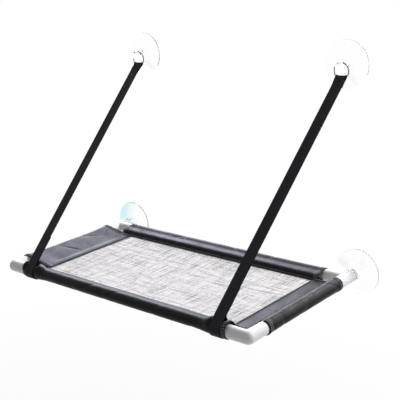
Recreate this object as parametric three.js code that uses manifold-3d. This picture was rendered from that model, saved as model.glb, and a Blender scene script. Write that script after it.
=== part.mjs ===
// A cat hammock that hangs on a window. Four white plastic tubes and their corner fittings make a flat
// frame, and a sewn cover of black cloth and pale open weave is stretched in it. Four clear suction cups
// hold it to the pane: two plug into the rear fittings, and two sit higher and carry the front of the
// frame on webbing straps.
// Millimetres. X runs along the window, +Y points at the pane, +Z is up.
// The origin lies on the pane's face, midway between the lower cups and level with the tubes' centre lines.
import * as THREE from "three";
import { mergeVertices } from "three/addons/utils/BufferGeometryUtils.js";
import Module from "manifold-3d";

const wasm = await Module();
wasm.setup();

// Frame: spans are between the tubes' centre lines
const BED_WIDTH = 650;
const BED_DEPTH = 330;
const TUBE_DIAMETER = 20;
const TUBE_WALL = 2;

// Corner fittings
const FITTING_DIAMETER = 26;
const FITTING_LEG = 46; // from the corner's centre to the open end of a leg that takes a tube
const CUP_LEG = 32; // the shorter leg of a tee, which takes a suction cup's plug
const FITTING_CHAMFER = 1;
const SOCKET_STOP = 15; // from the corner's centre to the step that a tube's end meets
const WATERWAY_DIAMETER = 16;

// Gaps between pieces that touch on the real object, and how far a cutting shape runs past what it cuts
const FIT_GAP = 0.3;
const STRAP_GAP = 0.5; // between a strap's loop and the sleeve that it turns on
const OVERRUN = 2;
const WELD = 1e-4; // points nearer than this are one point

// Cover: cloth strips that end in sleeves round the tubes, and an open-weave panel sewn between them
const CLOTH = 0.8;
// Distances from a tube's centre line to the seam that closes its sleeve: the left one is a wide, flat taper
const SEAM_OFFSET = 22;
const LEFT_SEAM_OFFSET = 70;
const SEAM_LAP = 5; // how far the panel reaches under the bands
const PANEL_SAG = 5;
// Distances from a tube's centre line to the inner edge of the band beside it
const FRONT_BAND = 28;
const REAR_BAND = 38;
const LEFT_BAND = 78;
const RIGHT_BAND = 51;
// Distances from the crossing tubes' centre lines to the ends of each sleeve and of its flat band:
// left then right on the front and rear strips, front then rear on the side strips
const FRONT_SLEEVE_ENDS = [44, 42];
const FRONT_BAND_ENDS = [24, 25];
const REAR_SLEEVE_ENDS = [46, 46];
const REAR_BAND_ENDS = [43, 25];
const LEFT_SLEEVE_ENDS = [33, 39];
const LEFT_BAND_ENDS = [22, 35];
const RIGHT_SLEEVE_ENDS = [48, 30];
const RIGHT_BAND_ENDS = [22, 30];

// Straps
const STRAP_WIDTH = 25;
const STRAP_THICKNESS = 1.6;
const LOOP_LENGTH = 22; // along the strap, from the front tube's centre to where the loop's two runs meet
const LOOP_TAIL = 80; // from the front tube's centre to the end of the sewn-back tail
const RING_TAIL = 26; // from the ring to the end of the tail that is sewn back there
const STRAP_FOOT = 65; // from the side tube's centre line to the middle of the strap's loop
const SLOT_CLEARANCE = 1.5; // room beside and outside the loop in the slot that it passes through

// Rings
const RING_DIAMETER = 35;
const RING_WIRE = 2.4;
const RING_GATHER = 50; // degrees of the ring, each side of its lowest point, that the strap wraps
const RING_HEIGHT = 405; // from the tubes' centre lines up to the lowest point of the wire's centre line

// Suction cups: depths are measured from the pane
const CUP_DIAMETER = 100;
const CUP_EDGE = 1.6;
const CUP_LIP = 3; // width of the flat lip that meets the pane
const CUP_HOLLOW = 9;
const CUP_SHOULDER = 14;
const SHOULDER_CURVE_SHARE = 0.75; // how fully the flare swells: 1 is a straight cone
const LOWER_CUP_REACH = 21; // from the pane to the fitting that the plug enters
const LOWER_CUP_HUB = 26;
const PLUG_DIAMETER = 20;
const PLUG_STEM = 17.6;
const PLUG_LENGTH = 15;
const PLUG_BARBS = 2;
const BARB_LAND_SHARE = 0.33; // the part of each barb's length that is stem
const UPPER_CUP_HUB = 24;
const HUB_ROUND = 2;
const UPPER_CUP_NECK = 11;
const NECK_START = 17.5;
const NECK_END = 24.5;
const HEAD_DIAMETER = 18;
const HEAD_LENGTH = 7;
const HEAD_ROUND = 2.4;
const LEFT_CUP_INSET = 72; // from the side tube's centre line to the upper cup's centre
const RIGHT_CUP_INSET = 28;

// Facets
const ROUND = 28;
const CUP_ROUND = 32;
const CUP_STEPS = 5;
const RING_ROUND = 32;
const WIRE_ROUND = 8;
const PANEL_CELLS = [10, 6];

// Places worked out from the sizes above
const HALF_WIDTH = BED_WIDTH / 2;
const REAR_Y = -(LOWER_CUP_REACH + CUP_LEG);
const FRONT_Y = REAR_Y - BED_DEPTH;
const TUBE_RADIUS = TUBE_DIAMETER / 2;
const FITTING_RADIUS = FITTING_DIAMETER / 2;
const SLEEVE_RADIUS = FITTING_RADIUS + FIT_GAP + CLOTH;
const RING_RADIUS = (RING_DIAMETER - RING_WIRE) / 2; // of the wire's centre line
const RING_Y = -(NECK_START + NECK_END) / 2;
const RING_CENTRE_Z = RING_HEIGHT + RING_RADIUS;
const UPPER_CUP_Z = RING_CENTRE_Z + RING_RADIUS - RING_WIRE / 2 - FIT_GAP - UPPER_CUP_NECK / 2;
const strapFeet = { left: -HALF_WIDTH + STRAP_FOOT, right: HALF_WIDTH - STRAP_FOOT };
const strapTops = { left: -HALF_WIDTH + LEFT_CUP_INSET, right: HALF_WIDTH - RIGHT_CUP_INSET };

// The cover's layers where they cross: side bands on the tubes' level, end bands above, the panel below
const LAYER_STEP = CLOTH + FIT_GAP;
const SIDE_LEVEL = -CLOTH / 2;
const END_LEVEL = SIDE_LEVEL + LAYER_STEP;
const PANEL_LEVEL = SIDE_LEVEL - LAYER_STEP;

// A strap's line in side view. From the ring it runs straight down to the outer side of the front sleeve,
// which it touches, and goes round and up behind the sleeve to meet its own inner face at an angle.
const STRAP_RUN = RING_Y - FRONT_Y;
const LOOP_INNER = SLEEVE_RADIUS + STRAP_GAP;
const LOOP_OUTER = LOOP_INNER + STRAP_THICKNESS;
const RING_DISTANCE = Math.hypot(STRAP_RUN, RING_HEIGHT);
const STRAP_LENGTH = Math.sqrt(RING_DISTANCE ** 2 - LOOP_INNER ** 2);
const STRAP_SLOPE = Math.atan2(RING_HEIGHT, STRAP_RUN) - Math.asin(LOOP_INNER / RING_DISTANCE);
const LOOP_SPREAD = 2 * Math.atan2(LOOP_INNER, LOOP_LENGTH);
const LOOP_LEAVE = LOOP_SPREAD - Math.PI / 2; // where the second run leaves the round, from the strap's line

// Finishes
const whitePlastic = new THREE.MeshStandardMaterial({ color: 0xf4f4f2, roughness: 0.28, metalness: 0 });
const blackCloth = new THREE.MeshStandardMaterial({ color: 0x2c2b31, roughness: 0.78, metalness: 0 });
const paleWeave = new THREE.MeshStandardMaterial({ color: 0xcfcbd0, roughness: 0.85, metalness: 0 });
const blackWebbing = new THREE.MeshStandardMaterial({ color: 0x17171b, roughness: 0.9, metalness: 0 });
const platedSteel = new THREE.MeshStandardMaterial({ color: 0xc8cacc, roughness: 0.18, metalness: 1 });
const clearVinyl = new THREE.MeshStandardMaterial({
  color: 0xe6f2f5,
  roughness: 0.08,
  metalness: 0,
  transparent: true,
  opacity: 0.35,
});

const X = new THREE.Vector3(1, 0, 0);
const Y = new THREE.Vector3(0, 1, 0);
const Z = new THREE.Vector3(0, 0, 1);
const back = (v) => v.clone().negate();

// Turns a closed geometry into a solid that can be joined and cut.
function solid(geometry) {
  const bare = geometry.index ? geometry.toNonIndexed() : geometry.clone();
  bare.deleteAttribute("normal");
  bare.deleteAttribute("uv");
  const merged = mergeVertices(bare, WELD);
  return new wasm.Manifold(
    new wasm.Mesh({
      numProp: 3,
      vertProperties: new Float32Array(merged.attributes.position.array),
      triVerts: new Uint32Array(merged.index.array),
    }),
  );
}

// Turns a solid back into a geometry.
function geometryOf(body) {
  const mesh = body.getMesh();
  const geometry = new THREE.BufferGeometry();
  geometry.setAttribute("position", new THREE.BufferAttribute(new Float32Array(mesh.vertProperties), 3));
  geometry.setIndex(new THREE.BufferAttribute(new Uint32Array(mesh.triVerts), 1));
  const faceted = geometry.toNonIndexed();
  faceted.computeVertexNormals();
  return faceted;
}

// Revolves [radius, height] points about Y.
function turned(points, sides = ROUND) {
  return new THREE.LatheGeometry(
    points.map(([r, y]) => new THREE.Vector2(r, y)),
    sides,
  );
}

// An outline carried straight along local Z.
function extruded(shape, depth, curveSegments) {
  return new THREE.ExtrudeGeometry(shape, { depth, bevelEnabled: false, curveSegments });
}

// A matrix whose columns are the directions that local X, Y and Z take, and a place.
function placed(x, y, z, at = new THREE.Vector3()) {
  return new THREE.Matrix4().makeBasis(x, y, z).setPosition(at);
}

// A block given by two opposite corners.
function block(low, high) {
  const size = high.map((v, i) => v - low[i]);
  const middle = high.map((v, i) => (v + low[i]) / 2);
  return new THREE.BoxGeometry(...size).translate(...middle);
}

// A tube of the given length along local Y, centred on its middle.
function tubeGeometry(length) {
  const inner = TUBE_RADIUS - TUBE_WALL;
  const half = length / 2;
  return turned([
    [inner, -half],
    [TUBE_RADIUS, -half],
    [TUBE_RADIUS, half],
    [inner, half],
    [inner, -half],
  ]);
}

// One leg of a fitting along a direction, as its outside and the bore that is cut from it.
function leg([direction, length]) {
  const outside = turned([
    [0, 0],
    [FITTING_RADIUS, 0],
    [FITTING_RADIUS, length - FITTING_CHAMFER],
    [FITTING_RADIUS - FITTING_CHAMFER, length],
    [0, length],
  ]);
  const socket = TUBE_RADIUS + FIT_GAP;
  const bore = turned([
    [0, 0],
    [WATERWAY_DIAMETER / 2, 0],
    [WATERWAY_DIAMETER / 2, SOCKET_STOP],
    [socket, SOCKET_STOP],
    [socket, length + OVERRUN],
    [0, length + OVERRUN],
  ]);
  const turn = new THREE.Quaternion().setFromUnitVectors(Y, direction);
  return [outside.applyQuaternion(turn), bore.applyQuaternion(turn)].map(solid);
}

// A moulded fitting with a leg along each direction and a ball where they meet.
function fittingGeometry(legList) {
  const ball = (radius) => solid(new THREE.SphereGeometry(radius, ROUND, ROUND / 2).rotateX(Math.PI / 2));
  const legs = legList.map(leg);
  const outside = legs.reduce((sum, [part]) => sum.add(part), ball(FITTING_RADIUS));
  const inside = legs.reduce((sum, [, bore]) => sum.add(bore), ball(WATERWAY_DIAMETER / 2));
  return geometryOf(outside.subtract(inside));
}

// A closed outline like a drop: a round part about the origin, and two flanks along tangents to its point.
function dropOutline(shape, radius, point) {
  const turn = Math.acos(radius / point);
  shape.absarc(0, 0, radius, turn, Math.PI * 2 - turn, false);
  shape.lineTo(point, 0);
  shape.closePath();
  return shape;
}

// A strip of black cloth: a sleeve round its tube, drawn in to a seam, and the flat band beyond the seam.
// Local X points from the tube into the bed, local Y up and local Z along the tube from its first end.
function stripSolid({ into, along, start, span, sleeveEnds, bandEnds, seam, band, level }) {
  const section = dropOutline(new THREE.Shape(), SLEEVE_RADIUS, seam);
  const inner = SLEEVE_RADIUS - CLOTH;
  section.holes.push(dropOutline(new THREE.Path(), inner, (seam * inner) / SLEEVE_RADIUS));
  const depth = span - sleeveEnds[0] - sleeveEnds[1];
  const sleeve = extruded(section, depth, ROUND / 2).translate(0, 0, sleeveEnds[0]);
  const flat = block([seam - 2 * CLOTH, level, bandEnds[0]], [band, level + CLOTH, span - bandEnds[1]]);
  const place = placed(into, Z, along, start);
  return solid(sleeve.applyMatrix4(place)).add(solid(flat.applyMatrix4(place)));
}

// How each strip lies. The rear and left strips run the other way, so their ends are taken in reverse.
const flip = ([a, b]) => [b, a];
const strips = {
  front_sleeve: {
    into: Y,
    along: X,
    start: new THREE.Vector3(-HALF_WIDTH, FRONT_Y, 0),
    span: BED_WIDTH,
    sleeveEnds: FRONT_SLEEVE_ENDS,
    bandEnds: FRONT_BAND_ENDS,
    seam: SEAM_OFFSET,
    band: FRONT_BAND,
    level: END_LEVEL,
  },
  rear_sleeve: {
    into: back(Y),
    along: back(X),
    start: new THREE.Vector3(HALF_WIDTH, REAR_Y, 0),
    span: BED_WIDTH,
    sleeveEnds: flip(REAR_SLEEVE_ENDS),
    bandEnds: flip(REAR_BAND_ENDS),
    seam: SEAM_OFFSET,
    band: REAR_BAND,
    level: END_LEVEL,
  },
  left_sleeve: {
    into: X,
    along: back(Y),
    start: new THREE.Vector3(-HALF_WIDTH, REAR_Y, 0),
    span: BED_DEPTH,
    sleeveEnds: flip(LEFT_SLEEVE_ENDS),
    bandEnds: flip(LEFT_BAND_ENDS),
    seam: LEFT_SEAM_OFFSET,
    band: LEFT_BAND,
    level: SIDE_LEVEL,
  },
  right_sleeve: {
    into: back(X),
    along: Y,
    start: new THREE.Vector3(HALF_WIDTH, FRONT_Y, 0),
    span: BED_DEPTH,
    sleeveEnds: RIGHT_SLEEVE_ENDS,
    bandEnds: RIGHT_BAND_ENDS,
    seam: SEAM_OFFSET,
    band: RIGHT_BAND,
    level: SIDE_LEVEL,
  },
};

// The slots in the cover, behind the front sleeve, that the straps' loops pass through.
// Their far edge clears the loop's second run where it crosses the uppermost layer of cloth.
function strapSlots() {
  const half = STRAP_WIDTH / 2 + SLOT_CLEARANCE;
  const lean = STRAP_SLOPE + LOOP_LEAVE;
  const run = (LOOP_OUTER - (END_LEVEL + CLOTH) * Math.sin(lean)) / Math.cos(lean);
  const kept = new THREE.CylinderGeometry(SLEEVE_RADIUS, SLEEVE_RADIUS, BED_WIDTH, ROUND);
  kept.rotateZ(Math.PI / 2).translate(0, FRONT_Y, 0);
  const far = FRONT_Y + run + SLOT_CLEARANCE;
  return Object.values(strapFeet)
    .map((x) => solid(block([x - half, FRONT_Y, -LOOP_OUTER], [x + half, far, LOOP_OUTER])))
    .reduce((sum, slot) => sum.add(slot))
    .subtract(solid(kept));
}

// The open-weave panel: a thin sheet on a grid that dips in the middle and lies flat under the bands.
function panelGeometry() {
  const low = [-HALF_WIDTH + LEFT_BAND, FRONT_Y + FRONT_BAND];
  const high = [HALF_WIDTH - RIGHT_BAND, REAR_Y - REAR_BAND];
  const spread = (axis) => {
    const step = (high[axis] - low[axis]) / PANEL_CELLS[axis];
    const inner = Array.from({ length: PANEL_CELLS[axis] + 1 }, (_, i) => low[axis] + step * i);
    return [low[axis] - SEAM_LAP, ...inner, high[axis] + SEAM_LAP];
  };
  const bowl = (v, axis) => {
    const across = (2 * v - low[axis] - high[axis]) / (high[axis] - low[axis]);
    return Math.max(0, 1 - across ** 2);
  };
  const [xs, ys] = [spread(0), spread(1)];
  const places = [];
  for (const lift of [CLOTH, 0])
    for (const y of ys)
      for (const x of xs) places.push(x, y, PANEL_LEVEL + lift - PANEL_SAG * bowl(x, 0) * bowl(y, 1));
  const wide = xs.length;
  const layer = wide * ys.length;
  const faces = [];
  const quad = (a, b, c, d) => faces.push(a, b, c, a, c, d);
  for (let j = 0; j < ys.length - 1; j++)
    for (let i = 0; i < wide - 1; i++) {
      const k = j * wide + i;
      quad(k, k + 1, k + wide + 1, k + wide);
      quad(layer + k, layer + k + wide, layer + k + wide + 1, layer + k + 1);
    }
  const edge = [];
  for (let i = 0; i < wide - 1; i++) edge.push(i);
  for (let j = 0; j < ys.length - 1; j++) edge.push(j * wide + wide - 1);
  for (let i = wide - 1; i > 0; i--) edge.push((ys.length - 1) * wide + i);
  for (let j = ys.length - 1; j > 0; j--) edge.push(j * wide);
  edge.forEach((k, i) => {
    const next = edge[(i + 1) % edge.length];
    quad(k, layer + k, layer + next, next);
  });
  const sheet = new THREE.BufferGeometry();
  sheet.setAttribute("position", new THREE.Float32BufferAttribute(places, 3));
  sheet.setIndex(faces);
  sheet.computeVertexNormals();
  return sheet;
}

// A whole ring of the given wire radius, centred on the origin in the XZ plane.
function ringGeometry(wireRadius) {
  return new THREE.TorusGeometry(RING_RADIUS, wireRadius, WIRE_ROUND, RING_ROUND).rotateX(Math.PI / 2);
}

// The lowest stretch of the ring's circle, up to an angle each side of its lowest point.
class RingArc extends THREE.Curve {
  constructor(reach) {
    super();
    this.reach = reach;
  }
  getPoint(t, target = new THREE.Vector3()) {
    const angle = this.reach * (2 * t - 1);
    return target.set(RING_RADIUS * Math.sin(angle), 0, -RING_RADIUS * Math.cos(angle));
  }
}

// The fold of webbing round the ring, centred on the ring: a thick arc, and the web drawn up to its sides.
function foldSolid() {
  const reach = THREE.MathUtils.degToRad(RING_GATHER);
  const thick = RING_WIRE / 2 + FIT_GAP + STRAP_THICKNESS;
  const circle = new THREE.Shape().absarc(0, 0, thick, 0, Math.PI * 2, false);
  const steps = Math.ceil((RING_ROUND * reach) / Math.PI);
  const alongArc = { extrudePath: new RingArc(reach), steps, curveSegments: WIRE_ROUND / 2 };
  const arc = new THREE.ExtrudeGeometry(circle, alongArc);
  const half = RING_RADIUS * Math.sin(reach);
  const web = new THREE.Shape();
  web.moveTo(-half, -RING_RADIUS - thick);
  web.lineTo(half, -RING_RADIUS - thick);
  web.absarc(0, 0, RING_RADIUS, reach - Math.PI / 2, -reach - Math.PI / 2, true);
  web.closePath();
  const depth = 2 * STRAP_THICKNESS;
  const gusset = extruded(web, depth, RING_ROUND / 4).translate(0, 0, -depth / 2).rotateX(Math.PI / 2);
  return solid(arc).add(solid(gusset)).subtract(solid(ringGeometry(RING_WIRE / 2 + FIT_GAP)));
}

// A webbing strap. Its side view has the front tube's centre at the origin, local X along the strap and
// local Y out of its outer face. The webbing is doubled at the loop and at the ring, where its ends are
// sewn back on its inner face.
function strapGeometry(foot, top) {
  const t = STRAP_THICKNESS;
  const tail = LOOP_INNER - t;
  const secondRun = (tail - LOOP_OUTER * Math.sin(LOOP_LEAVE)) / Math.sin(LOOP_SPREAD);
  const meet = LOOP_OUTER * Math.cos(LOOP_LEAVE) + secondRun * Math.cos(LOOP_SPREAD);
  const side = new THREE.Shape();
  side.absarc(0, 0, LOOP_OUTER, Math.PI / 2, 2 * Math.PI + LOOP_LEAVE, false);
  side.lineTo(meet, tail);
  side.lineTo(LOOP_TAIL, tail);
  side.lineTo(LOOP_TAIL, LOOP_INNER);
  side.lineTo(STRAP_LENGTH - RING_TAIL, LOOP_INNER);
  side.lineTo(STRAP_LENGTH - RING_TAIL, tail);
  side.lineTo(STRAP_LENGTH, tail);
  side.lineTo(STRAP_LENGTH, LOOP_OUTER);
  side.closePath();
  const hole = new THREE.Path().absarc(0, 0, LOOP_INNER, Math.PI / 2, 2 * Math.PI + LOOP_LEAVE, false);
  hole.lineTo(LOOP_LENGTH, LOOP_INNER);
  hole.closePath();
  side.holes.push(hole);
  const web = extruded(side, STRAP_WIDTH, ROUND / 2).translate(0, 0, -STRAP_WIDTH / 2);
  const up = new THREE.Vector3(0, Math.cos(STRAP_SLOPE), Math.sin(STRAP_SLOPE));
  const off = new THREE.Vector3().crossVectors(X, up);
  const channel = ringGeometry(RING_WIRE / 2 + FIT_GAP);
  const ringPlace = [0, STRAP_RUN, RING_HEIGHT + RING_RADIUS];
  const body = solid(web.applyMatrix4(placed(up, off, X)))
    .subtract(solid(channel.translate(...ringPlace)))
    .add(foldSolid().translate(ringPlace));
  // The upper cup sits a little to one side of the loop, so the strap leans towards it.
  const strap = geometryOf(body);
  const place = strap.getAttribute("position");
  for (let i = 0; i < place.count; i++) {
    const reach = place.getY(i) * up.y + place.getZ(i) * up.z;
    const share = (reach - LOOP_LENGTH) / (STRAP_LENGTH - RING_TAIL - LOOP_LENGTH);
    place.setX(i, place.getX(i) + (top - foot) * THREE.MathUtils.clamp(share, 0, 1));
  }
  return strap.translate(foot, FRONT_Y, 0);
}

// The flared disc that both kinds of cup share, from its hollow's middle out to the lip and back to the hub.
function discProfile(hubRadius) {
  const rim = CUP_DIAMETER / 2;
  const mouth = rim - CUP_LIP;
  const shares = Array.from({ length: CUP_STEPS + 1 }, (_, i) => i / CUP_STEPS);
  const hollow = shares.map((share) => [mouth * share, -CUP_HOLLOW * (1 - share ** 2)]);
  const rise = CUP_SHOULDER - CUP_EDGE;
  const flare = shares.map((share) => [
    rim + (hubRadius - rim) * share,
    -CUP_EDGE - rise * share ** SHOULDER_CURVE_SHARE,
  ]);
  return [...hollow, [rim, 0], ...flare];
}

// A lower cup: its barbed plug enters the rear fitting's open leg.
function lowerCupGeometry() {
  const hub = LOWER_CUP_HUB / 2;
  const face = -LOWER_CUP_REACH + FIT_GAP;
  const barb = PLUG_LENGTH / PLUG_BARBS;
  const starts = Array.from({ length: PLUG_BARBS }, (_, i) => face - barb * i);
  const plug = starts.flatMap((start) => [
    [PLUG_STEM / 2, start],
    [PLUG_STEM / 2, start - barb * BARB_LAND_SHARE],
    [PLUG_DIAMETER / 2, start - barb * BARB_LAND_SHARE],
  ]);
  const end = face - PLUG_LENGTH;
  const profile = [...discProfile(hub), [hub, face], ...plug, [PLUG_STEM / 2, end], [0, end]];
  return turned(profile.reverse(), CUP_ROUND);
}

// An upper cup: a neck that carries the ring, and a round head that keeps it on.
function upperCupGeometry() {
  const hub = UPPER_CUP_HUB / 2;
  const neck = UPPER_CUP_NECK / 2;
  const head = HEAD_DIAMETER / 2;
  const end = -NECK_END - HEAD_LENGTH;
  const profile = [
    ...discProfile(hub),
    [hub, -NECK_START + HUB_ROUND],
    [hub - HUB_ROUND, -NECK_START],
    [neck, -NECK_START],
    [neck, -NECK_END],
    [head - HEAD_ROUND, -NECK_END],
    [head, -NECK_END - HEAD_ROUND],
    [head, end + HEAD_ROUND],
    [head - HEAD_ROUND, end],
    [0, end],
  ];
  return turned(profile.reverse(), CUP_ROUND);
}

const hammock = new THREE.Group();
hammock.name = "cat_window_hammock";

function add(name, geometry, material, position = [0, 0, 0]) {
  const mesh = new THREE.Mesh(geometry, material);
  mesh.name = name;
  mesh.position.set(...position);
  hammock.add(mesh);
  return mesh;
}

// Tubes stop a gap short of the steps inside the fittings
const acrossLength = BED_WIDTH - 2 * (SOCKET_STOP + FIT_GAP);
const sideLength = BED_DEPTH - 2 * (SOCKET_STOP + FIT_GAP);
add("front_tube", tubeGeometry(acrossLength), whitePlastic, [0, FRONT_Y, 0]).rotation.z = Math.PI / 2;
add("rear_tube", tubeGeometry(acrossLength), whitePlastic, [0, REAR_Y, 0]).rotation.z = Math.PI / 2;
add("left_tube", tubeGeometry(sideLength), whitePlastic, [-HALF_WIDTH, (FRONT_Y + REAR_Y) / 2, 0]);
add("right_tube", tubeGeometry(sideLength), whitePlastic, [HALF_WIDTH, (FRONT_Y + REAR_Y) / 2, 0]);

for (const [side, place, inward] of [
  ["left", -HALF_WIDTH, X],
  ["right", HALF_WIDTH, back(X)],
]) {
  const across = [inward, FITTING_LEG];
  const elbow = fittingGeometry([across, [Y, FITTING_LEG]]);
  add(`front_${side}_elbow`, elbow, whitePlastic, [place, FRONT_Y, 0]);
  const tee = fittingGeometry([across, [back(Y), FITTING_LEG], [Y, CUP_LEG]]);
  add(`rear_${side}_tee`, tee, whitePlastic, [place, REAR_Y, 0]);
  add(`lower_${side}_cup`, lowerCupGeometry(), clearVinyl, [place, 0, 0]);
}

const slots = strapSlots();
for (const [name, strip] of Object.entries(strips)) {
  add(name, geometryOf(stripSolid(strip).subtract(slots)), blackCloth);
}
add("mesh_panel", panelGeometry(), paleWeave);

for (const side of ["left", "right"]) {
  add(`${side}_strap`, strapGeometry(strapFeet[side], strapTops[side]), blackWebbing);
  add(`${side}_ring`, ringGeometry(RING_WIRE / 2), platedSteel, [strapTops[side], RING_Y, RING_CENTRE_Z]);
  add(`upper_${side}_cup`, upperCupGeometry(), clearVinyl, [strapTops[side], 0, UPPER_CUP_Z]);
}

export default hammock;
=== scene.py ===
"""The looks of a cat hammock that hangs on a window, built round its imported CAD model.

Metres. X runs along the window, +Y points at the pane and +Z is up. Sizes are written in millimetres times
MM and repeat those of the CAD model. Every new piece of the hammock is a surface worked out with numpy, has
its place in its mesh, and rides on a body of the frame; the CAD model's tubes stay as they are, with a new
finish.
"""
import logging
import math
from collections.abc import Callable, Sequence
from dataclasses import dataclass, field
from enum import Enum
from functools import partial

import bmesh
import bpy
import numpy as np
from mathutils import Matrix, Vector


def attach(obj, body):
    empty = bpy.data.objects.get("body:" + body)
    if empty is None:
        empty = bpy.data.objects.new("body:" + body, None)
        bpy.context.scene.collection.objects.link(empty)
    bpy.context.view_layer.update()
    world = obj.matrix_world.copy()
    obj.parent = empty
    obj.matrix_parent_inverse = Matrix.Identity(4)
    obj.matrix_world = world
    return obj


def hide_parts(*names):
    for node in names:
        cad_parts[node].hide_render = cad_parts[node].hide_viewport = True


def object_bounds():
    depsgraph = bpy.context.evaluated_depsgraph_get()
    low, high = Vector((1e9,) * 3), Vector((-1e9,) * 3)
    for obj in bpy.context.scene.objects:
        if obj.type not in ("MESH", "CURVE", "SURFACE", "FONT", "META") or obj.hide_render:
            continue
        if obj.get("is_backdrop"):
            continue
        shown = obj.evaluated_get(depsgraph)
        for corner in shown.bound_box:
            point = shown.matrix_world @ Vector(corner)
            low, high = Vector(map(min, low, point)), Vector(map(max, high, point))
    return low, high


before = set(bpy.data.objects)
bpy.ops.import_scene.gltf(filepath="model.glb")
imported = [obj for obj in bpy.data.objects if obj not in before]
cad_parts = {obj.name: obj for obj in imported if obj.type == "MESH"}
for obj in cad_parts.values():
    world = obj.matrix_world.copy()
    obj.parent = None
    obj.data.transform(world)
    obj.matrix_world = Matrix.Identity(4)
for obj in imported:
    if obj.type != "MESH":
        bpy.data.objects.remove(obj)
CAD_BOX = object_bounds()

LOG = logging.getLogger("hammock")
MM = 0.001
WELD = 1e-6  # points nearer than this are one point
NOISE = (0.3, 0.7)  # the range in which nearly all of a noise pattern lies
Array = np.ndarray
Piece = bpy.types.Object
Node = bpy.types.Node
Pair = tuple[float, float]
Place = tuple[float, float, float]
Sockets = dict[str, object]
AddNode = Callable[..., Node]


# ---- surfaces


def smooth_step(x: Array) -> Array:
    """Rises from 0 to 1 as x does, level at both ends: 3x² - 2x³."""
    x = np.clip(x, 0, 1)
    return x * x * (3 - 2 * x)


def dip(distance: Array, width: float) -> Array:
    """A bell of height 1 at distance 0: e to the minus square of distance over width."""
    return np.exp(-((distance / width) ** 2))


def stack(*columns: Array | float) -> Array:
    """Puts columns side by side as points' coordinates, each stretched to the others' shape."""
    return np.stack(np.broadcast_arrays(*columns), -1)


def unit(vectors: Array) -> Array:
    """Each vector along the last axis, made 1 long."""
    return vectors / np.linalg.norm(vectors, axis=-1, keepdims=True)


def run_lengths(points: Array) -> Array:
    """How far each of a row of points lies from the first, along the row."""
    return np.concatenate([[0], np.cumsum(np.linalg.norm(np.diff(points, axis=0), axis=1))])


def full_turn(count: int) -> Array:
    """The even angles of one full turn."""
    return np.arange(count) * (2 * math.pi / count)


def line(start: Sequence[float], end: Sequence[float], count: int) -> Array:
    """Evenly spaced points from start up to, and without, end."""
    share = np.arange(count)[:, None] / count
    return np.asarray(start) * (1 - share) + np.asarray(end) * share


def arc(centre: Sequence[float], radius: float, first: float, last: float, count: int) -> Array:
    """Points on a circle in a plane, centre plus radius times (cos, sin), from one angle up to another."""
    angle = np.linspace(first, last, count)
    return np.asarray(centre) + radius * stack(np.cos(angle), np.sin(angle))


def soften(outline: Array, reach: float, steps: int = 4) -> Array:
    """Rounds the inner corners of an open outline.

    Each corner C becomes the curve (1-w)²A + 2w(1-w)C + w²B, where A and B lie on the corner's two sides,
    reach away from it or at 0.45 of the side where that is less.

    Args:
        outline: corner points, one row each.
        reach: how far from a corner its curve starts.
        steps: points on each curve.

    Returns:
        The rounded outline.
    """
    corner = outline[1:-1]
    ends = []
    for other in (outline[:-2], outline[2:]):
        side = other - corner
        length = np.linalg.norm(side, axis=1, keepdims=True)
        ends.append((corner + side / length * np.minimum(reach, 0.45 * length))[:, None])
    w = np.linspace(0, 1, steps)[None, :, None]
    curves = (1 - w) ** 2 * ends[0] + 2 * w * (1 - w) * corner[:, None] + w**2 * ends[1]
    return np.concatenate([outline[:1], curves.reshape(-1, outline.shape[1]), outline[-1:]])


def grid_faces(rows: int, columns: int, wrap: bool = False) -> Array:
    """Quads between neighbouring points of a grid; with wrap, the last column joins the first."""
    r = np.arange(rows - 1)[:, None] * columns
    c = np.arange(columns if wrap else columns - 1)[None, :]
    after = (c + 1) % columns
    return stack(r + c, r + after, r + columns + after, r + columns + c).reshape(-1, 4)


def capped(rows: int, columns: int) -> list[list[int]]:
    """Faces of a tube of rows of points, closed by one face at each end."""
    last = (rows - 1) * columns
    ends = [list(range(columns))[::-1], list(range(last, last + columns))]
    return [*grid_faces(rows, columns, wrap=True).tolist(), *ends]


def add_object(name: str, data: bpy.types.ID) -> Piece:
    """Puts a mesh, lamp or camera into the scene as a new object."""
    made = bpy.data.objects.new(name, data)
    bpy.context.scene.collection.objects.link(made)
    return made


def make_piece(
    name: str,
    points: Array,
    faces: Sequence[Sequence[int]],
    uv: Array | None = None,
    closed: bool = True,
    sharp: float = 40,
) -> Piece:
    """Puts points and faces into a new object whose place is in its mesh.

    Args:
        name: the piece's name.
        points: places in metres, one row each.
        faces: point numbers of each face.
        uv: two coordinates for each point, in millimetres, for patterns that follow the surface.
        closed: whether the shell is closed; an open one is a sheet, and gets the cloth's thickness.
        sharp: the angle in degrees over which an edge is drawn sharp.

    Returns:
        The object.
    """
    mesh = bpy.data.meshes.new(name)
    mesh.from_pydata(points.reshape(-1, 3).tolist(), [], [list(map(int, f)) for f in faces])
    if uv is not None:
        corners = np.empty(len(mesh.loops), np.int32)
        mesh.loops.foreach_get("vertex_index", corners)
        layer = mesh.uv_layers.new(name="cloth")
        layer.data.foreach_set("uv", uv.reshape(-1, 2)[corners].astype(np.float32).ravel())
    mend(mesh, closed)
    mesh.shade_smooth()
    mesh.set_sharp_from_angle(angle=math.radians(sharp))
    piece = add_object(name, mesh)
    if not closed:
        wall = piece.modifiers.new("thickness", "SOLIDIFY")
        wall.thickness, wall.offset, wall.use_rim = BED.cloth, 0, True
    return piece


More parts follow.
